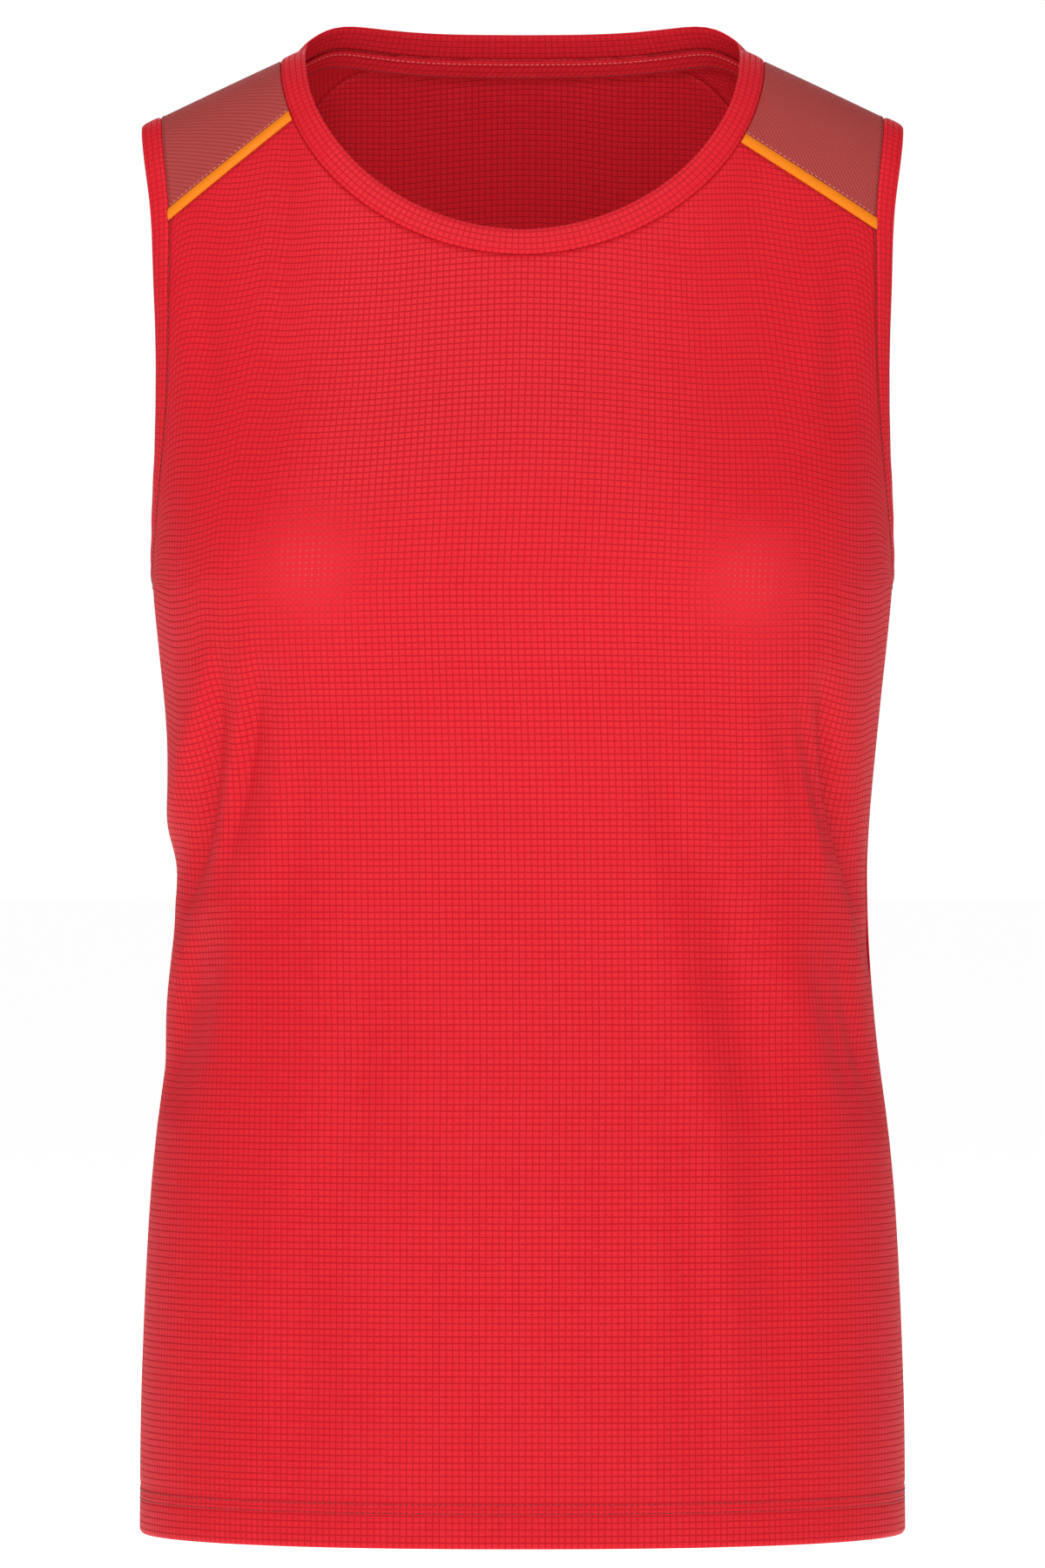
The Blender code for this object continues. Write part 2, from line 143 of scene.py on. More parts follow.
# Folds that the solid also has, then the finer creases of the worn cloth.
FOLD_DEEPER = 1.7
FOLDS = (
    # face, top_x, top_height, low_x, low_height, spread, depth
    (FRONT, -121.0, -236.0, -138.0, -340.0, 7.0, 3.4),
    (FRONT, -106.0, -236.0, -118.0, -316.0, 9.0, 2.2),
    (FRONT, -126.0, -338.0, -146.0, -428.0, 8.0, 2.4),
    (FRONT, 122.0, -240.0, 139.0, -342.0, 7.0, 3.2),
    (FRONT, 107.0, -246.0, 127.0, -318.0, 9.0, 2.0),
    (FRONT, 76.0, -310.0, 95.0, -430.0, 13.0, 2.0),
    (FRONT, 120.0, -345.0, 145.0, -436.0, 8.0, 2.0),
    (BACK, -104.0, -180.0, -132.0, -330.0, 9.0, 3.0),
    (BACK, 98.0, -196.0, 130.0, -338.0, 10.0, 3.2),
    (BACK, -58.0, -236.0, -74.0, -372.0, 14.0, 2.2),
    (BACK, 46.0, -260.0, 58.0, -402.0, 15.0, 2.0),
    (FRONT, -122.0, -226.0, -142.0, -358.0, 3.0, 2.0),
    (FRONT, -131.0, -256.0, -145.0, -336.0, 2.6, 1.4),
    (FRONT, -106.0, -228.0, -124.0, -336.0, 3.4, 1.4),
    (FRONT, -132.0, -340.0, -149.0, -425.0, 3.0, 1.3),
    (FRONT, 122.0, -238.0, 141.0, -360.0, 3.0, 1.9),
    (FRONT, 111.0, -246.0, 132.0, -336.0, 3.2, 1.2),
    (FRONT, 133.0, -290.0, 146.0, -376.0, 2.6, 1.4),
    (FRONT, 128.0, -350.0, 149.0, -432.0, 3.0, 1.2),
    (FRONT, -88.0, -250.0, -97.0, -345.0, 7.0, 0.8),
    (FRONT, -60.0, -330.0, -74.0, -470.0, 12.0, 1.0),
    (FRONT, 92.0, -330.0, 108.0, -600.0, 12.0, 1.5),
    (FRONT, 70.0, -400.0, 78.0, -605.0, 10.0, 1.0),
    (FRONT, -84.0, -440.0, -92.0, -600.0, 13.0, 1.1),
    (FRONT, -20.0, -290.0, 22.0, -306.0, 9.0, 0.7),
    (FRONT, -46.0, -232.0, 40.0, -240.0, 11.0, 0.7),
    (FRONT, 52.0, -250.0, 66.0, -330.0, 8.0, 0.7),
    (FRONT, -134.0, -60.0, -126.0, -150.0, 6.0, 0.9),
    (FRONT, 133.0, -70.0, 127.0, -152.0, 6.0, 0.8),
    (BACK, -30.0, -110.0, -10.0, -250.0, 14.0, 1.2),
    (BACK, 84.0, -380.0, 96.0, -590.0, 13.0, 1.4),
    (BACK, -92.0, -400.0, -100.0, -600.0, 12.0, 1.3),
    (BACK, 20.0, -420.0, 28.0, -600.0, 16.0, 1.0),
)


def column_curve(column):
    """Smooth curve through one column of the sections, as a function of height."""
    rows = SECTIONS[:, 0]
    values = SECTIONS[:, column]
    slopes = np.gradient(values, rows)
    slopes[1:-1] = (values[2:] - values[:-2]) / (rows[2:] - rows[:-2])
    fine, read = [], []
    for index in range(len(rows) - 1):
        step = rows[index + 1] - rows[index]
        share = np.linspace(0.0, 1.0, 40, endpoint=False)
        low, high = slopes[index] * step, slopes[index + 1] * step
        rise = values[index + 1] - values[index]
        curve = 3.0 * rise - 2.0 * low - high
        bend = low + high - 2.0 * rise
        fine.append(rows[index] + share * step)
        read.append(values[index] + share * (low + share * (curve + share * bend)))
    fine, read = np.concatenate(fine + [rows[-1:]]), np.concatenate(read + [values[-1:]])
    return lambda height: np.interp(height, fine, read)


half_width, side_width, front_depth, back_depth, square_of = (column_curve(c) for c in range(1, 6))


def armhole_x(level):
    """Half width at which the cloth ends: the side seam, or the armhole seam above its foot."""
    return np.where(level <= ARMHOLE_FOOT, half_width(level), side_width(level))


def ridge(x):
    """Height of the shoulder line above a place across the body."""
    inward = hypot(NECK_HALF, SHOULDER_ROUND) - np.hypot(x, SHOULDER_ROUND)
    rise = NECK_RISE * (1.0 - np.exp(-(np.maximum(inward, 0.0) / NECK_RISE_OVER) ** 2))
    return NECK_POINT + SHOULDER_SLOPE * inward + rise


def lifted(x, level):
    """True height of a row: level below the chest, climbing with the shoulder above it."""
    share = np.clip((level - LIFT_FROM) / (SHOULDER_TIP - LIFT_FROM), 0.0, 1.0)
    return level + share * share * (3.0 - 2.0 * share) * (ridge(x) - SHOULDER_TIP)


def cap_angle(level):
    """Angle over the shoulder: 0 on the ridge, a quarter turn at the foot of the cap."""
    drop = (SHOULDER_TIP - level) / CAP_HEIGHT
    return np.where(drop < 1.0, np.arccos(1.0 - np.clip(drop, 0.0, 1.0)), pi / 2 + drop - 1.0)


def cap_level(angle):
    """Row level at an angle over the shoulder."""
    angle = np.abs(angle)
    return np.where(angle < pi / 2, SHOULDER_TIP - CAP_HEIGHT * (1.0 - np.cos(angle)),
                    SHOULDER_TIP - CAP_HEIGHT * (1.0 + angle - pi / 2))


def fullness(face, x, height):
    """How far the cloth stands off the plain section: bust fullness and the folds."""
    out = np.zeros_like(x)
    if face == FRONT:
        away = ((np.abs(x) - BUST_X) ** 2 + (height - BUST_HEIGHT) ** 2) / BUST_SPREAD ** 2
        out = out + BUST_FULLNESS * np.exp(-away)
    for fold_face, top_x, top, low_x, low, spread, depth in FOLDS:
        if fold_face == face:
            run_x, run_z = low_x - top_x, low - top
            length = hypot(run_x, run_z)
            share = ((x - top_x) * run_x + (height - top) * run_z) / length ** 2
            across = ((x - top_x) * run_z - (height - top) * run_x) / length / spread
            trough = 0.5 * np.exp(-(across - 1.7) ** 2) - np.exp(-across ** 2)
            out = out + FOLD_DEEPER * depth * np.sin(pi * np.clip(share, 0.0, 1.0)) * trough
    return out


def smooth_place(face, turn, angle):
    """Place on the plain section from the turn round the body and the angle over the shoulder."""
    level = cap_level(angle)
    power = 2.0 / square_of(level)
    x = half_width(level) * np.abs(np.sin(turn)) ** power * np.sign(turn)
    height = lifted(x, level)
    depth = front_depth(height) if face == FRONT else back_depth(height)
    cap = np.sin(np.minimum(angle, pi / 2))
    y = face * depth * cap * np.maximum(np.cos(turn), 0.0) ** power
    return np.stack((x, y, height), axis=-1)


def unit(vectors):
    """Vectors brought to a length of one."""
    return vectors / np.maximum(np.linalg.norm(vectors, axis=-1, keepdims=True), 1e-9)


LOOK_STEP = 0.004


def outward(place, face, turn, angle):
    """Unit normal of a surface function, pointing out of the garment."""
    low, high = np.maximum(turn - LOOK_STEP, -pi / 2), np.minimum(turn + LOOK_STEP, pi / 2)
    round_body = place(face, high, angle) - place(face, low, angle)
    up_body = place(face, turn, angle - LOOK_STEP) - place(face, turn, angle + LOOK_STEP)
    return -face * unit(np.cross(round_body, up_body))


def cloth_place(face, turn, angle):
    """Place on the outside of the cloth, with its fullness and folds."""
    smooth = smooth_place(face, turn, angle)
    stand = fullness(face, smooth[..., 0], smooth[..., 2])
    return smooth + outward(smooth_place, face, turn, angle) * stand[..., None]


def cloth(face, turn, level):
    """Outside points and normals of the cloth."""
    angle = cap_angle(level)
    return cloth_place(face, turn, angle), outward(cloth_place, face, turn, angle)


def turn_at(x, level):
    """Turn round the section that reaches a place across the body."""
    share = np.minimum(np.abs(x) / half_width(level), 1.0)
    return np.sign(x) * np.arcsin(share ** (0.5 * square_of(level)))


SOLVE_STEPS = 34


def solve(above, low, high):
    """Find where a rising test turns true between two arrays of values."""
    for _ in range(SOLVE_STEPS):
        middle = 0.5 * (low + high)
        past = above(middle)
        low, high = np.where(past, low, middle), np.where(past, middle, high)
    return 0.5 * (low + high)


def behind_ridge(x, level):
    """How far a place on the back lies behind the shoulder ridge."""
    return smooth_place(BACK, turn_at(x, level), cap_angle(level))[..., 1]


def in_neck_hole(face, x, level):
    """Whether a place on the surface falls inside the neck seam."""
    share = np.minimum(np.abs(x) / NECK_HALF, 1.0)
    if face == FRONT:
        fall = NECK_DROP * (1.0 - share ** NECK_POWER) ** (1.0 / NECK_POWER)
        return lifted(x, level) > NECK_POINT - fall
    return behind_ridge(x, level) < BACK_NECK_REACH * np.sqrt(1.0 - share ** 2)


def neck_level(face, x):
    """Row level of the neck seam at places across the body."""
    start = np.zeros_like(x)
    return solve(lambda level: in_neck_hole(face, x, level), start + LIFT_FROM, start + SHOULDER_TIP)


def strap_x(face, share, level):
    """Place across a shoulder strap, from the neck seam to the armhole seam."""
    start = np.zeros_like(level)
    neck = solve(lambda x: ~in_neck_hole(face, x, level), start, start + NECK_HALF)
    return neck + share * (armhole_x(level) - neck)


def strap_level(face, side, share, drop):
    """Row level at which a strap meets its yoke's seam, or a line a little below it."""
    def past_seam(level):
        x = strap_x(face, share, level)
        if face == BACK:
            seam = ridge(x) - BACK_YOKE_DROP
        else:
            neck, neck_height, arm_height = YOKE_SEAMS[side]
            seam = neck_height + (x - neck) / (armhole_x(arm_height) - neck) * (arm_height - neck_height)
        return lifted(x, level) > seam - drop

    start = np.zeros_like(share)
    return solve(past_seam, start + LIFT_FROM, start + SHOULDER_TIP)


def panel_edge(face, straps, necks):
    """Top of every column of a panel, from the wearer's right armhole to the left one."""
    drop = PIPING_DROP if face == FRONT else 0.0
    shares = np.linspace(0.0, 1.0, straps)
    ends = {}
    for side in (RIGHT, LEFT):
        level = strap_level(face, side, shares, drop)
        ends[side] = (side * strap_x(face, shares, level), level)
    first, last = (np.arcsin(ends[side][0][0] / NECK_HALF) for side in (RIGHT, LEFT))
    x = NECK_HALF * np.sin(np.linspace(first, last, necks)[1:-1])
    level = neck_level(face, np.abs(x))
    return (np.concatenate((ends[RIGHT][0][::-1], x, ends[LEFT][0])),
            np.concatenate((ends[RIGHT][1][::-1], level, ends[LEFT][1])))


def lengths_along(points, axis):
    """Distance run along one axis of a grid of points."""
    steps = np.linalg.norm(np.diff(points, axis=axis), axis=-1)
    pad = [(0, 0)] * steps.ndim
    pad[axis] = (1, 0)
    return np.cumsum(np.pad(steps, pad), axis=axis)


def shell(name, outside, normals, inner, uv, finish, lining=None):
    """Thin closed wall on a grid of outside points, with its map in metres along the cloth."""
    inside = outside - normals * inner[..., None]
    rows, columns = outside.shape[:2]
    count = rows * columns
    points = np.concatenate((outside.reshape(-1, 3), inside.reshape(-1, 3))) * MM
    index = np.arange(count).reshape(rows, columns)
    low = np.stack((index[:-1, :-1], index[:-1, 1:], index[1:, 1:], index[1:, :-1]), axis=-1).reshape(-1, 4)
    flat_uv = uv.reshape(-1, 2)
    wide = np.arange(index.size).reshape(index.shape)
    low_uv = np.stack((wide[:-1, :-1], wide[:-1, 1:], wide[1:, 1:], wide[1:, :-1]), axis=-1).reshape(-1, 4)
    faces, maps = [low, low[:, ::-1] + count], [low_uv, low_uv[:, ::-1]]
    edges = [(index[0], wide[0]), (index[-1][::-1], wide[-1][::-1]),
             (index[:, 0][::-1], wide[:, 0][::-1]), (index[:, -1], wide[:, -1])]
    for line, line_uv in edges:
        faces.append(np.stack((line[1:], line[:-1], line[:-1] + count, line[1:] + count), axis=-1))
        maps.append(np.stack((line_uv[1:], line_uv[:-1], line_uv[:-1], line_uv[1:]), axis=-1))
    faces, maps = np.concatenate(faces), np.concatenate(maps)
    mesh = bpy.data.meshes.new(name)
    mesh.from_pydata(points.tolist(), [], faces.tolist())
    layer = mesh.uv_layers.new(name="cloth")
    layer.data.foreach_set("uv", (flat_uv[maps.reshape(-1)] * MM).reshape(-1))
    mesh.shade_smooth()
    mesh.materials.append(finish)
    if lining:
        mesh.materials.append(lining)
        slots = np.zeros(len(faces), dtype=np.int32)
        slots[len(low):2 * len(low)] = 1
        mesh.polygons.foreach_set("material_index", slots)
    piece = bpy.data.objects.new(name, mesh)
    scene.collection.objects.link(piece)
    return piece


class Wire:
    """A shader socket that Python expressions can be written with."""

    def __init__(self, socket):
        self.socket = socket
        self.tree = socket.id_data

    def node(self, kind, settings=(), inputs=(), output=0):
        made = self.tree.nodes.new(kind)
        for key, value in dict(settings).items():
            setattr(made, key, value)
        for key, value in dict(inputs).items():
            if isinstance(value, Wire):
                self.tree.links.new(value.socket, made.inputs[key])
            else:
                made.inputs[key].default_value = value
        return Wire(made.outputs[output])

    def maths(self, operation, *values):
        return self.node("ShaderNodeMath", {"operation": operation}, dict(enumerate(values)))

    def __add__(self, other):
        return self.maths("ADD", self, other)

    def __sub__(self, other):
        return self.maths("SUBTRACT", self, other)

    def __rsub__(self, other):
        return self.maths("SUBTRACT", other, self)

    def __mul__(self, other):
        return self.maths("MULTIPLY", self, other)

    def __truediv__(self, other):
        return self.maths("DIVIDE", self, other)

    def __pow__(self, other):
        return self.maths("POWER", self, other)

    __radd__ = __add__
    __rmul__ = __mul__

    def blend(self, low, high):
        """Colour between two others, by this wire."""
        return self.node("ShaderNodeMix", {"data_type": "RGBA"}, {0: self, 6: low, 7: high}, 2)


def cloth_material(name, roughness, sheen, tint):
    """A new cloth material: its shader, and its map across and along in millimetres."""
    made = bpy.data.materials.new(name)
    made.use_nodes = True
    shader = made.node_tree.nodes["Principled BSDF"]
    shader.inputs["Roughness"].default_value = roughness
    shader.inputs["Sheen Weight"].default_value = sheen
    shader.inputs["Sheen Tint"].default_value = tint
    shader.inputs["Sheen Roughness"].default_value = 0.4
    shader.inputs["IOR"].default_value = 1.22
    position = made.node_tree.nodes.new("ShaderNodeUVMap")
    position.uv_map = "cloth"
    uv = Wire(position.outputs[0])
    parts = uv.node("ShaderNodeSeparateXYZ", {}, {0: uv})
    across = parts * 1000.0
    along = Wire(parts.socket.node.outputs[1]) * 1000.0
    return made, shader, uv, across, along


def connect(shader, socket, wire):
    """Feed a wire to one of the shader's sockets."""
    shader.id_data.links.new(wire.socket, shader.inputs[socket])


def cell_line(wire, pitch, width):
    """Soft dark line once in each pitch: 1 on the line and 0 between lines."""
    place = wire.maths("PINGPONG", wire, 0.5 * pitch)
    return wire.node("ShaderNodeMapRange", {"interpolation_type": "SMOOTHSTEP"},
                     {0: place, 1: 0.0, 2: width, 3: 1.0, 4: 0.0})


def noise(wire, scale, detail=2.0):
    """Random soft variation over the cloth."""
    return wire.node("ShaderNodeTexNoise", {}, {"Vector": wire, "Scale": scale, "Detail": detail})


def relief(wire, strength, depth):
    """Surface relief from a height over the cloth."""
    return wire.node("ShaderNodeBump", {}, {"Strength": strength, "Distance": depth, "Height": wire})


GRID_PITCH = 2.7
GRID_LINE = 0.52
RED_HIGH = (0.740, 0.016, 0.030, 1.0)
RED_MID = (0.665, 0.011, 0.022, 1.0)
RED_LINE = (0.360, 0.002, 0.008, 1.0)
RED_DOT = (0.840, 0.020, 0.034, 1.0)
# Colour of the painted highlight over the bust.
RED_BUST_HIGHLIGHT = (1.000, 0.190, 0.200, 1.0)
# Painted highlight over the bust: where the front is fullest the cloth is painted paler in soft spots,
# mostly at the grid crossings, in place of light showing through the stretched mesh.
BUST_HIGHLIGHT_SPOTS = ((-88.0, -198.0, 22.0), (95.0, -204.0, 22.0))


def make_grid_knit(name, line_strength, bust_highlight):
    """Red knit with a fine sunk grid, small raised cells, a faint uneven dye and, optionally, painted
    highlights over the bust.
    """
    made, shader, uv, across, along = cloth_material(name, 0.55, 0.05, RED_HIGH)
    wander = noise(uv, 60.0)
    upright = cell_line(across + wander * 0.35, GRID_PITCH, GRID_LINE)
    level = cell_line(along + wander * 0.30, GRID_PITCH, GRID_LINE)
    lines = upright.maths("MAXIMUM", upright * 0.85, level)
    crossing = upright * level
    fine = noise(uv, 2600.0, 1.0)
    ribs = cell_line(across, GRID_PITCH / 6.0, 0.12) * 0.5 + cell_line(along, GRID_PITCH / 6.0, 0.12) * 0.5
    dye = noise(uv, 22.0, 3.0).blend(RED_MID, RED_HIGH)
    cells = (fine * (1.0 - lines) * 0.55).blend(dye, RED_DOT)
    # Painted highlight: soft spots over the bust where cells, crossings and lines are blended towards a pale
    # red.
    if bust_highlight:
        place = uv.node("ShaderNodeTexCoord", {}, {}, 3)
        highlight_glow = 0.0
        for x, z, reach in BUST_HIGHLIGHT_SPOTS:
            spot = place.node("ShaderNodeVectorMath", {"operation": "DISTANCE"},
                              {0: place, 1: (x * MM, FRONT * 0.108, z * MM)}, 1)
            highlight_glow = highlight_glow + spot.maths("EXPONENT", (spot / (reach * MM)) ** 2 * -1.0)
        cells = (highlight_glow * (crossing * 0.55 + lines * 0.16)).blend(cells, RED_BUST_HIGHLIGHT)
    strength = lines * line_strength * (0.75 + fine * 0.5)
    # The grid lines are painted fainter under the bust highlight.
    if bust_highlight:
        strength = strength * (1.0 - highlight_glow * 0.6)
    colour = strength.blend(cells, RED_LINE)
    connect(shader, "Base Color", colour)
    connect(shader, "Roughness", 0.50 + lines * 0.22)
    height = (1.0 - lines) + fine * 0.18 - ribs * 0.16 - crossing * 0.3
    connect(shader, "Normal", relief(height, 0.55, 0.00022))
    return made


# The panel cloth carries the painted bust highlight. The band cloth does not.
grid_knit = make_grid_knit("grid_knit_cloth", 0.66, True)
WALL = 0.9
HEM_WALL = 2.2
HEM_TOP = HEM + HEM_DEPTH
STRAP_COLUMNS, NECK_COLUMNS, BODY_ROWS, CHEST_ROWS = 34, 132, 136, 90
FOOT_TURN = 2.2
HEM_ROWS = (0.0, 0.5, 1.2, 3.0, 6.0, 10.0, 13.4, 14.3, 15.2, 16.9, 18.0, 19.1, 20.0, 20.8, 22.0)


def chest_climb(rows):
    """Share of the way up from the armhole's foot, with rows closer together round the foot."""
    return (1.0 - np.cos(np.linspace(0.0, FOOT_TURN, rows))) / (1.0 - np.cos(FOOT_TURN))


def panel_grid(face):
    """Outside points, normals, map and row levels of a panel, from the hem up."""
    x_top, top = panel_edge(face, STRAP_COLUMNS, NECK_COLUMNS)
    share = turn_at(x_top, top) / turn_at(armhole_x(top), top)
    body_rows = np.linspace(HEM_TOP + 5.0, ARMHOLE_FOOT, BODY_ROWS, endpoint=False)
    climb = chest_climb(CHEST_ROWS)
    low = np.concatenate((np.array(HEM_ROWS) + HEM, body_rows))
    levels = np.concatenate((np.repeat(low[:, None], len(top), axis=1),
                             ARMHOLE_FOOT + (top[None] - ARMHOLE_FOOT) * climb[:, None]))
    turn = share[None] * turn_at(armhole_x(levels), levels)
    points, normals = cloth(face, turn, levels)
    along = lengths_along(points, 0)
    run = lengths_along(points, 1)
    middle = points.shape[1] // 2
    return points, normals, np.stack((run - run[:, middle:middle + 1], along), axis=-1), levels


STITCH_ROWS = ((14.3, 0.28, 0.7), (18.0, 0.28, 0.7), (20.3, 0.35, 0.6))
for name, face in (("front_panel", FRONT), ("back_panel", BACK)):
    grids = panel_grid(face)
    if face == BACK:
        grids = [grid[:, ::-1] for grid in grids]
    points, normals, uv, levels = grids
    above = levels - HEM
    sink = sum(depth * np.exp(-((above - place) / wide) ** 2) for place, depth, wide in STITCH_ROWS)
    hem_round = 0.9 * np.exp(-(above / 0.7) ** 2)
    edge = np.minimum(1.0, np.arange(points.shape[0])[::-1] / 2.0)[:, None] * np.ones_like(above)
    seam = 0.35 * (1.0 - edge)
    inner = np.where(above <= HEM_DEPTH, HEM_WALL - hem_round, WALL)
    outside = points - normals * (sink + seam + hem_round)[..., None]
    piece = shell(name + "_cloth", outside, normals, inner - (sink + seam + hem_round), uv, grid_knit)
    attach(piece, "root")
    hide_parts(name)

# Shoulder yokes: muted brick-red cloth with fine slanting lines, backed with the panel cloth,
# wrapped over each shoulder and sewn to the panels in front and behind.
BRICK = (0.375, 0.044, 0.042, 1.0)
BRICK_LIGHT = (0.520, 0.110, 0.100, 1.0)
BRICK_DARK = (0.250, 0.022, 0.022, 1.0)
yoke_knit, shader, uv_wire, across, along = cloth_material("yoke_knit_cloth", 0.62, 0.05, BRICK_LIGHT)
slant = across * 0.62 + along * 0.78
lines = cell_line(slant + noise(uv_wire, 90.0) * 0.4, 1.45, 0.42)
fleck = noise(uv_wire, 2200.0, 1.0)
base = (noise(uv_wire, 30.0, 3.0)).blend(BRICK, (0.43, 0.060, 0.056, 1.0))
connect(shader, "Base Color", (lines * 0.6).blend((fleck * 0.35).blend(base, BRICK_LIGHT), BRICK_DARK))
height = (1.0 - lines) + fleck * 0.3
connect(shader, "Normal", relief(height, 0.5, 0.0002))


def yoke_grid(side, shares, rows):
    """Outside points and normals of a yoke, from its front seam to its back seam."""
    shares = np.asarray(shares, dtype=float)
    start = -cap_angle(strap_level(FRONT, side, shares, 0.0))
    end = cap_angle(strap_level(BACK, side, shares, 0.0))
    points, normals = [], []
    for step in np.linspace(0.0, 1.0, rows):
        angle = start + (end - start) * step
        level = cap_level(angle)
        made = {}
        for face in (FRONT, BACK):
            x = side * strap_x(face, shares, level)
            made[face] = cloth(face, turn_at(x, level), level)
        front = (angle < 0.0)[:, None]
        points.append(np.where(front, made[FRONT][0], made[BACK][0]))
        normals.append(np.where(front, made[FRONT][1], made[BACK][1]))
    return np.array(points), np.array(normals)


for word, side in (("left", LEFT), ("right", RIGHT)):
    points, normals = yoke_grid(side, np.linspace(0.0, 1.0, 60), 72)
    if side == RIGHT:
        points, normals = points[:, ::-1], normals[:, ::-1]
    uv = np.stack((lengths_along(points, 1), lengths_along(points, 0)), axis=-1)
    rows = np.arange(points.shape[0])
    puff = 0.35 * (np.exp(-rows / 1.3) + np.exp(-rows[::-1] / 1.3))[:, None] * np.ones(points.shape[:2])
    piece = shell("yoke_" + word + "_cloth", points - normals * puff[..., None], normals, WALL - puff,
                  uv, yoke_knit, grid_knit)
    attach(piece, "root")
    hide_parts("yoke_" + word)

# Piping: bright orange flat tape folded over and caught in each front yoke seam, so that it
# stands a little proud of the cloth.
ORANGE = (0.95, 0.262, 0.010, 1.0)
ORANGE_DEEP = (0.72, 0.140, 0.006, 1.0)
ORANGE_SHEEN = (0.9, 0.3, 0.1, 1.0)
orange, shader, uv_wire, across, along = cloth_material("orange_piping_cloth", 0.45, 0.03, ORANGE_SHEEN)
twill = cell_line(across + along * 0.6, 0.9, 0.3)
fleck = noise(uv_wire, 1800.0, 1.0)
connect(shader, "Base Color", (twill * 0.35 + fleck * 0.25).blend(ORANGE, ORANGE_DEEP))
height = (1.0 - twill) + fleck * 0.4
connect(shader, "Normal", relief(height, 0.4, 0.00015))
piping_lines = {}
for word, side in (("left", LEFT), ("right", RIGHT)):
    shares = np.linspace(0.0, 1.0, 90)
    points, normals = [], []
    for share in np.linspace(0.0, 1.0, 13):
        level = strap_level(FRONT, side, shares, PIPING_DROP * (1.0 - share))
        x = side * strap_x(FRONT, shares, level)
        point, normal = cloth(FRONT, turn_at(x, level), level)
        proud = 0.15 + 0.75 * np.sin(pi * min(max(share, 0.04), 0.96)) ** 0.6
        points.append(point + normal * proud)
        normals.append(normal)
    points, normals = np.array(points), np.array(normals)
    if side == RIGHT:
        points, normals = points[:, ::-1], normals[:, ::-1]
    piping_lines[side] = (points, normals)
    uv = np.stack((lengths_along(points, 1), lengths_along(points, 0)), axis=-1)
    piece = shell("piping_" + word + "_tape", points, normals, np.full(points.shape[:2], 1.2), uv, orange)
    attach(piece, "root")
    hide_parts("piping_" + word)

# Neckband and armhole bands: strips of the panel cloth folded double, closed into rings and
# sewn to the raw edge, so that each carries the cloth's line a little way into its opening.
BAND_PROFILE = np.array((
    # share of width, height off the cloth
    (0.00, -1.0), (0.00, -0.55), (0.03, -0.15), (0.09, 0.30), (0.18, 0.52), (0.32, 0.60),
    (0.50, 0.62), (0.68, 0.55),
    (0.82, 0.36), (0.92, 0.05), (0.98, -0.35), (1.00, -0.65), (0.98, -0.95), (0.92, -1.25),
    (0.80, -1.45), (0.60, -1.55), (0.40, -1.55), (0.20, -1.50), (0.08, -1.40),
))
NECKBAND_WIDTH, ARMBAND_WIDTH, ARMBAND_CUT = 11.5, 9.5, 10.2
NECK_RIPPLE, ARM_RIPPLE = 0.10, 0.22
band_knit = make_grid_knit("band_knit_cloth", 0.55, False)


def band(name, points, normals, direction, width, finish, ripple):
    """Folded band: its section carried round a closed seam, with small pulls along it."""
    along = np.roll(points, -1, axis=0) - np.roll(points, 1, axis=0)
    inward = unit(np.cross(normals, along)) * direction
    run = lengths_along(np.concatenate((points, points[:1])), 0)
    wave = ripple * (np.sin(run[:-1] / 3.1) * 0.5 + np.sin(run[:-1] / 7.7 + 1.0) * 0.5)
    loops = []
    for share, out in BAND_PROFILE:
        reach = SEAM_GAP + (width - SEAM_GAP) * share
        lift = out + wave * np.sin(pi * share) * (1.0 if out > -0.6 else 0.3)
        loops.append(points + inward * reach + normals * lift[:, None])
    grid = np.array(loops)
    across = np.concatenate(([0.0], np.cumsum(np.hypot(np.diff(BAND_PROFILE[:, 0]) * width,
                                                         np.diff(BAND_PROFILE[:, 1])))))
    count, around = grid.shape[:2]
    index = np.arange(count * around).reshape(count, around)
    faces, maps = [], []
    for low in range(count):
        high = (low + 1) % count
        high_v = across[high] if high else across[-1] + 0.5
        for here in range(around):
            ahead = (here + 1) % around
            faces.append((index[low, here], index[low, ahead], index[high, ahead], index[high, here]))
            maps += [(run[here], across[low]), (run[here + 1], across[low]),
                     (run[here + 1], high_v), (run[here], high_v)]
    mesh = bpy.data.meshes.new(name)
    mesh.from_pydata((grid.reshape(-1, 3) * MM).tolist(), [], np.array(faces).tolist())
    layer = mesh.uv_layers.new(name="cloth")
    layer.data.foreach_set("uv", (np.array(maps) * MM).reshape(-1))
    mesh.shade_smooth()
    mesh.materials.append(finish)
    piece = bpy.data.objects.new(name, mesh)
    scene.collection.objects.link(piece)
    if sum(face.area * face.normal.dot(face.center) for face in mesh.polygons) < 0.0:
        mesh.flip_normals()
    return piece, float(run[-1])


def yoke_line(side, share, rows):
    """Points and normals over the shoulder at one place across a yoke."""
    points, normals = yoke_grid(side, [share], rows)
    return points[:, 0], normals[:, 0]


neck_front = panel_edge(FRONT, 2, 150)
neck_back = panel_edge(BACK, 2, 130)
front_ring = cloth(FRONT, turn_at(*(a[1:-1] for a in neck_front)), neck_front[1][1:-1])
back_ring = cloth(BACK, turn_at(*(a[1:-1] for a in neck_back)), neck_back[1][1:-1])
over = {side: yoke_line(side, 0.0, 40) for side in (LEFT, RIGHT)}
neck_ring = [np.concatenate((front_ring[i], over[LEFT][i][:-1], back_ring[i][::-1], over[RIGHT][i][-2::-1]))
             for i in (0, 1)]
neckband, neck_run = band("neckband_cloth", *neck_ring, 1, NECKBAND_WIDTH, band_knit, NECK_RIPPLE)
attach(neckband, "root")
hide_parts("neckband")

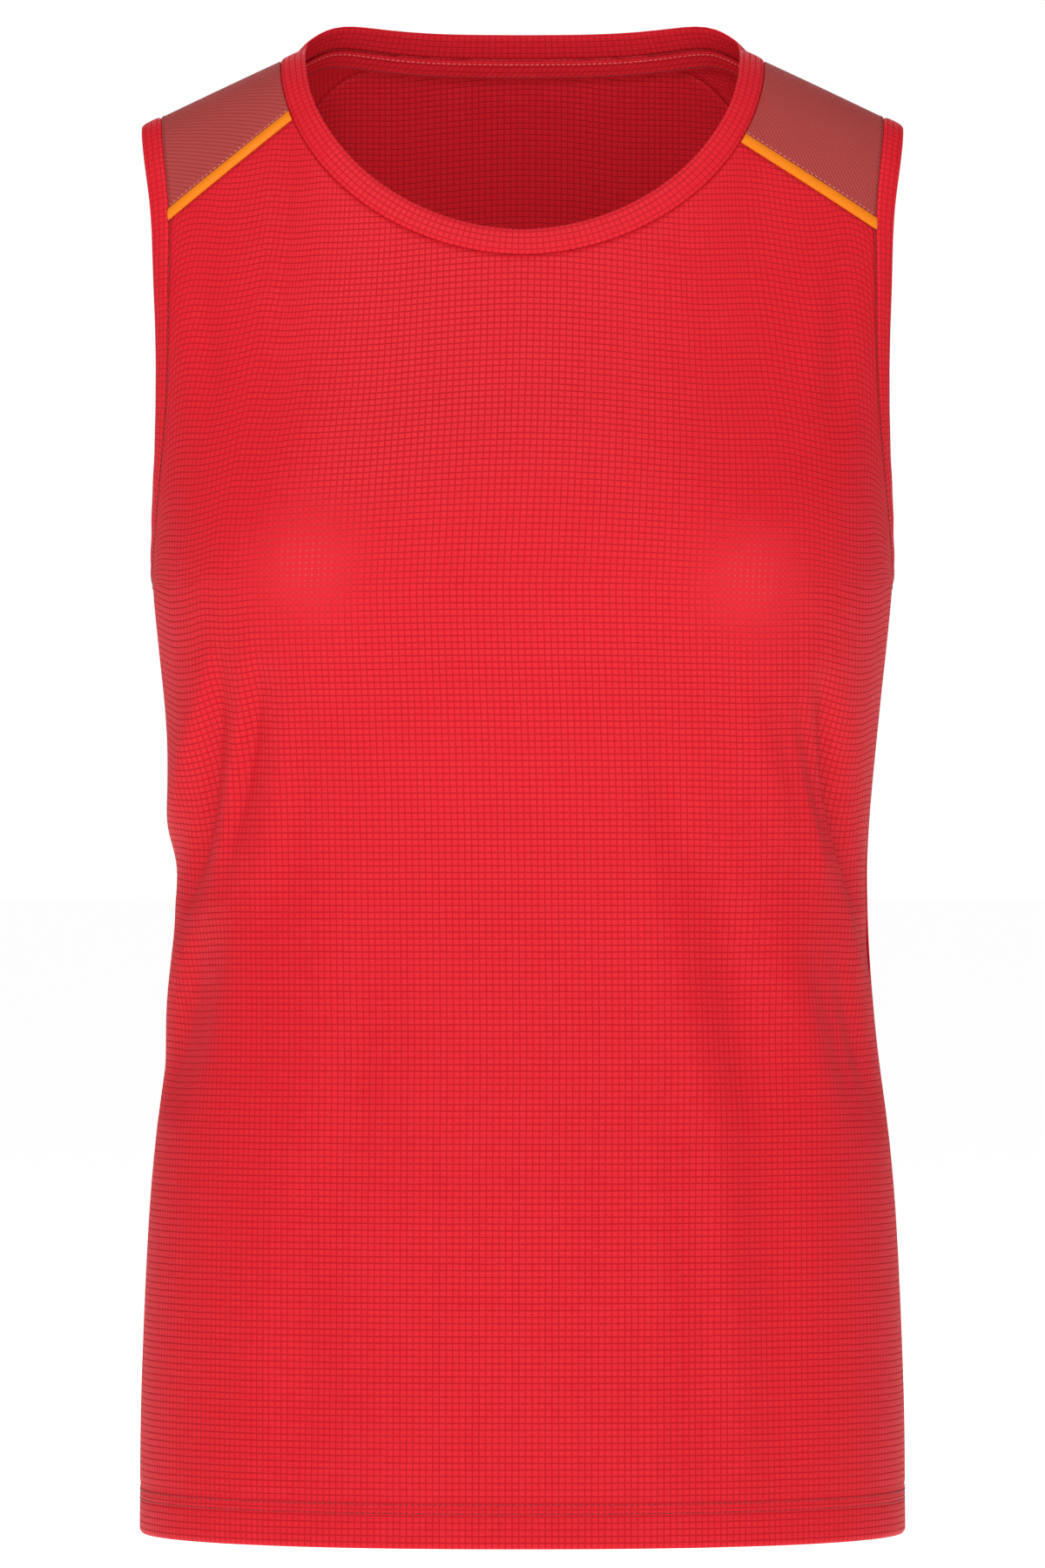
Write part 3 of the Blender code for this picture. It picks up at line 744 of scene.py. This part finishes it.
ARM_ROWS = 110
arm_rings = {}
for word, side in (("left", LEFT), ("right", RIGHT)):
    lines = []
    for face in (FRONT, BACK):
        top = panel_edge(face, 2, 4)[1]
        levels = ARMHOLE_FOOT + (top[-1 if side == LEFT else 0] - ARMHOLE_FOOT) * chest_climb(ARM_ROWS)
        lines.append(cloth(face, turn_at(side * armhole_x(levels), levels), levels))
    over_arm = yoke_line(side, 1.0, 50)
    ring = [np.concatenate((lines[0][i], over_arm[i][:-1], lines[1][i][:0:-1])) for i in (0, 1)]
    arm_rings[side] = ring
    piece, arm_run = band("armband_" + word + "_cloth", *ring, -side, ARMBAND_WIDTH, band_knit, ARM_RIPPLE)
    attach(piece, "root")
    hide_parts("armband_" + word)

# Back neck tape: a single strip of the red cloth laid over the back neck seam inside, from
# shoulder to shoulder, and sewn along both its edges.
TAPE_SET_IN, TAPE_WIDTH, TAPE_CUT, TAPE_THICK, TAPE_TURN = 1.7, 9.0, 10.5, 0.8, 1.42
tape_turns = np.linspace(-TAPE_TURN, TAPE_TURN, 160)
seam_x = NECK_HALF * np.sin(tape_turns)
seam_level = neck_level(BACK, np.abs(seam_x))
seam_points, seam_normals = cloth(BACK, turn_at(seam_x, seam_level), seam_level)
seam_down = unit(np.cross(seam_normals, np.gradient(seam_points, axis=0)))
tape_points, tape_normals = [], []
for reach in np.linspace(SEAM_GAP, TAPE_WIDTH, 14):
    aim = seam_points + seam_down * reach
    start = np.zeros(len(aim))
    level = solve(lambda level: behind_ridge(aim[:, 0], level) < aim[:, 1],
                  start + LIFT_FROM, start + SHOULDER_TIP)
    point, normal = cloth(BACK, turn_at(aim[:, 0], level), level)
    tape_points.append(point - normal * TAPE_SET_IN)
    tape_normals.append(normal)
tape_points, tape_normals = np.array(tape_points), np.array(tape_normals)
uv = np.stack((lengths_along(tape_points, 1), lengths_along(tape_points, 0)), axis=-1)
tape = shell("back_neck_tape_cloth", tape_points, tape_normals,
             np.full(tape_points.shape[:2], TAPE_THICK), uv, band_knit)
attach(tape, "root")
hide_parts("back_neck_tape")

# Stitches: twin needle rows round the hem, one fine row beside each armhole band, rows along
# the yoke seams, and two rows on the back neck tape, each a short rounded run of thread.
THREAD_COLOURS = {
    # name: colour
    "thread_red": (0.27, 0.002, 0.008, 1.0),
    "thread_light": (0.95, 0.150, 0.150, 1.0),
    "thread_pink": (0.90, 0.330, 0.280, 1.0),
}
threads = {}
for name, colour in THREAD_COLOURS.items():
    thread = bpy.data.materials.new(name)
    thread.use_nodes = True
    shader = thread.node_tree.nodes["Principled BSDF"]
    shader.inputs["Roughness"].default_value = 0.45
    shader.inputs["Sheen Weight"].default_value = 0.2
    place = Wire(thread.node_tree.nodes.new("ShaderNodeTexCoord").outputs["Object"])
    deeper = tuple(0.75 * part for part in colour[:3]) + (1.0,)
    connect(shader, "Base Color", noise(place, 900.0).blend(colour, deeper))
    threads[name] = thread


def stitch_tree(material):
    """Geometry Nodes that set one rounded stitch on every point, along its own direction."""
    tree = bpy.data.node_groups.new("stitch_row", "GeometryNodeTree")
    tree.interface.new_socket("Geometry", in_out="OUTPUT", socket_type="NodeSocketGeometry")
    tree.interface.new_socket("Geometry", in_out="INPUT", socket_type="NodeSocketGeometry")
    for label in ("Stitch length", "Thread width"):
        tree.interface.new_socket(label, in_out="INPUT", socket_type="NodeSocketFloat")
    put, link = tree.nodes.new, tree.links.new
    inside, out = put("NodeGroupInput"), put("NodeGroupOutput")
    ball = put("GeometryNodeMeshUVSphere")
    ball.inputs["Segments"].default_value = 6
    ball.inputs["Rings"].default_value = 5
    ball.inputs["Radius"].default_value = 0.5
    sizes = put("ShaderNodeCombineXYZ")
    link(inside.outputs["Stitch length"], sizes.inputs[0])
    link(inside.outputs["Thread width"], sizes.inputs[1])
    link(inside.outputs["Thread width"], sizes.inputs[2])
    shaped = put("GeometryNodeTransform")
    link(ball.outputs["Mesh"], shaped.inputs["Geometry"])
    link(sizes.outputs[0], shaped.inputs["Scale"])
    turns = []
    for label, axis in (("along", "X"), ("out", "Z")):
        read = put("GeometryNodeInputNamedAttribute")
        read.data_type = "FLOAT_VECTOR"
        read.inputs["Name"].default_value = label
        align = put("FunctionNodeAlignEulerToVector")
        align.axis = axis
        align.pivot_axis = "AUTO" if axis == "X" else "X"
        link(read.outputs[0], align.inputs["Vector"])
        turns.append(align)
    link(turns[0].outputs[0], turns[1].inputs["Rotation"])
    spread = put("GeometryNodeInstanceOnPoints")
    link(inside.outputs["Geometry"], spread.inputs["Points"])
    link(shaped.outputs[0], spread.inputs["Instance"])
    link(turns[1].outputs[0], spread.inputs["Rotation"])
    real, paint = put("GeometryNodeRealizeInstances"), put("GeometryNodeSetMaterial")
    paint.inputs["Material"].default_value = material
    link(spread.outputs[0], real.inputs[0])
    link(real.outputs[0], paint.inputs[0])
    link(paint.outputs[0], out.inputs[0])
    return tree


def stitches(name, rows, length, width, pitch, thread, closed=False):
    """Rows of stitches on lines of points and normals, joined as one plain mesh."""
    places, alongs, outs = [], [], []
    for points, normals in rows:
        if closed:
            points, normals = (np.concatenate((part, part[:1])) for part in (points, normals))
        run = lengths_along(points, 0)
        at = np.arange(0.5 * pitch, run[-1] - 0.25 * pitch, pitch)
        spots = np.stack([np.interp(at, run, points[:, axis]) for axis in range(3)], axis=-1)
        before, after = (np.stack([np.interp(at + look, run, points[:, axis]) for axis in range(3)], axis=-1)
                         for look in (-0.2, 0.2))
        places.append(spots)
        alongs.append(unit(after - before))
        outs.append(unit(np.stack([np.interp(at, run, normals[:, axis]) for axis in range(3)], axis=-1)))
    places, alongs, outs = np.concatenate(places), np.concatenate(alongs), np.concatenate(outs)
    mesh = bpy.data.meshes.new(name + "_points")
    mesh.from_pydata((places * MM).tolist(), [], [])
    for label, values in (("along", alongs), ("out", outs)):
        mesh.attributes.new(label, "FLOAT_VECTOR", "POINT").data.foreach_set("vector", values.reshape(-1))
    seed = bpy.data.objects.new(name + "_points", mesh)
    scene.collection.objects.link(seed)
    modifier = seed.modifiers.new("stitches", "NODES")
    modifier.node_group = stitch_tree(threads[thread])
    wanted = {"Stitch length": length * MM, "Thread width": width * MM}
    for item in modifier.node_group.interface.items_tree:
        if item.item_type == "SOCKET" and item.name in wanted:
            modifier[item.identifier] = wanted[item.name]
    seen = bpy.data.meshes.new_from_object(seed.evaluated_get(bpy.context.evaluated_depsgraph_get()))
    bpy.data.objects.remove(seed, do_unlink=True)
    seen.shade_smooth()
    piece = bpy.data.objects.new(name, seen)
    scene.collection.objects.link(piece)
    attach(piece, "root")
    return piece


def hem_line(face, above, out):
    """Line round the hem at a height above its edge."""
    turn = np.linspace(-pi / 2 + 0.01, pi / 2 - 0.01, 400)
    level = np.full_like(turn, HEM + above)
    points, normals = cloth(face, turn, level)
    return points + normals * out, normals


hem_rows = [hem_line(face, above, -0.15) for face in (FRONT, BACK) for above in (14.3, 18.0)]
stitches("hem_stitches", hem_rows, 1.7, 0.55, 2.3, "thread_red")
for word, side in (("left", LEFT), ("right", RIGHT)):
    points, normals = arm_rings[side]
    along = np.roll(points, -1, axis=0) - np.roll(points, 1, axis=0)
    away = -unit(np.cross(normals, along)) * -side
    stitches("armhole_stitches_" + word, [(points + away * 0.9 + normals * 0.12, normals)], 1.5, 0.5, 2.2,
             "thread_red", closed=True)
    grid, grid_normals = piping_lines[side]
    upper = (grid[-1] + (grid[-1] - grid[-2]) * 3.2 - grid_normals[-1] * 0.25, grid_normals[-1])
    stitches("yoke_stitches_" + word, [upper], 1.3, 0.42, 2.2, "thread_pink")
    lower = (grid[0] + (grid[0] - grid[1]) * 2.6 - grid_normals[0] * 0.25, grid_normals[0])
    stitches("front_seam_stitches_" + word, [lower], 1.3, 0.34, 2.2, "thread_red")
for label, row, thread in (("upper", 2, "thread_light"), ("lower", 11, "thread_red")):
    inside_face = tape_points[row] - tape_normals[row] * (TAPE_THICK + 0.1)
    stitches("tape_stitches_" + label, [(inside_face, -tape_normals[row])], 1.7, 0.55, 2.2,
             thread)
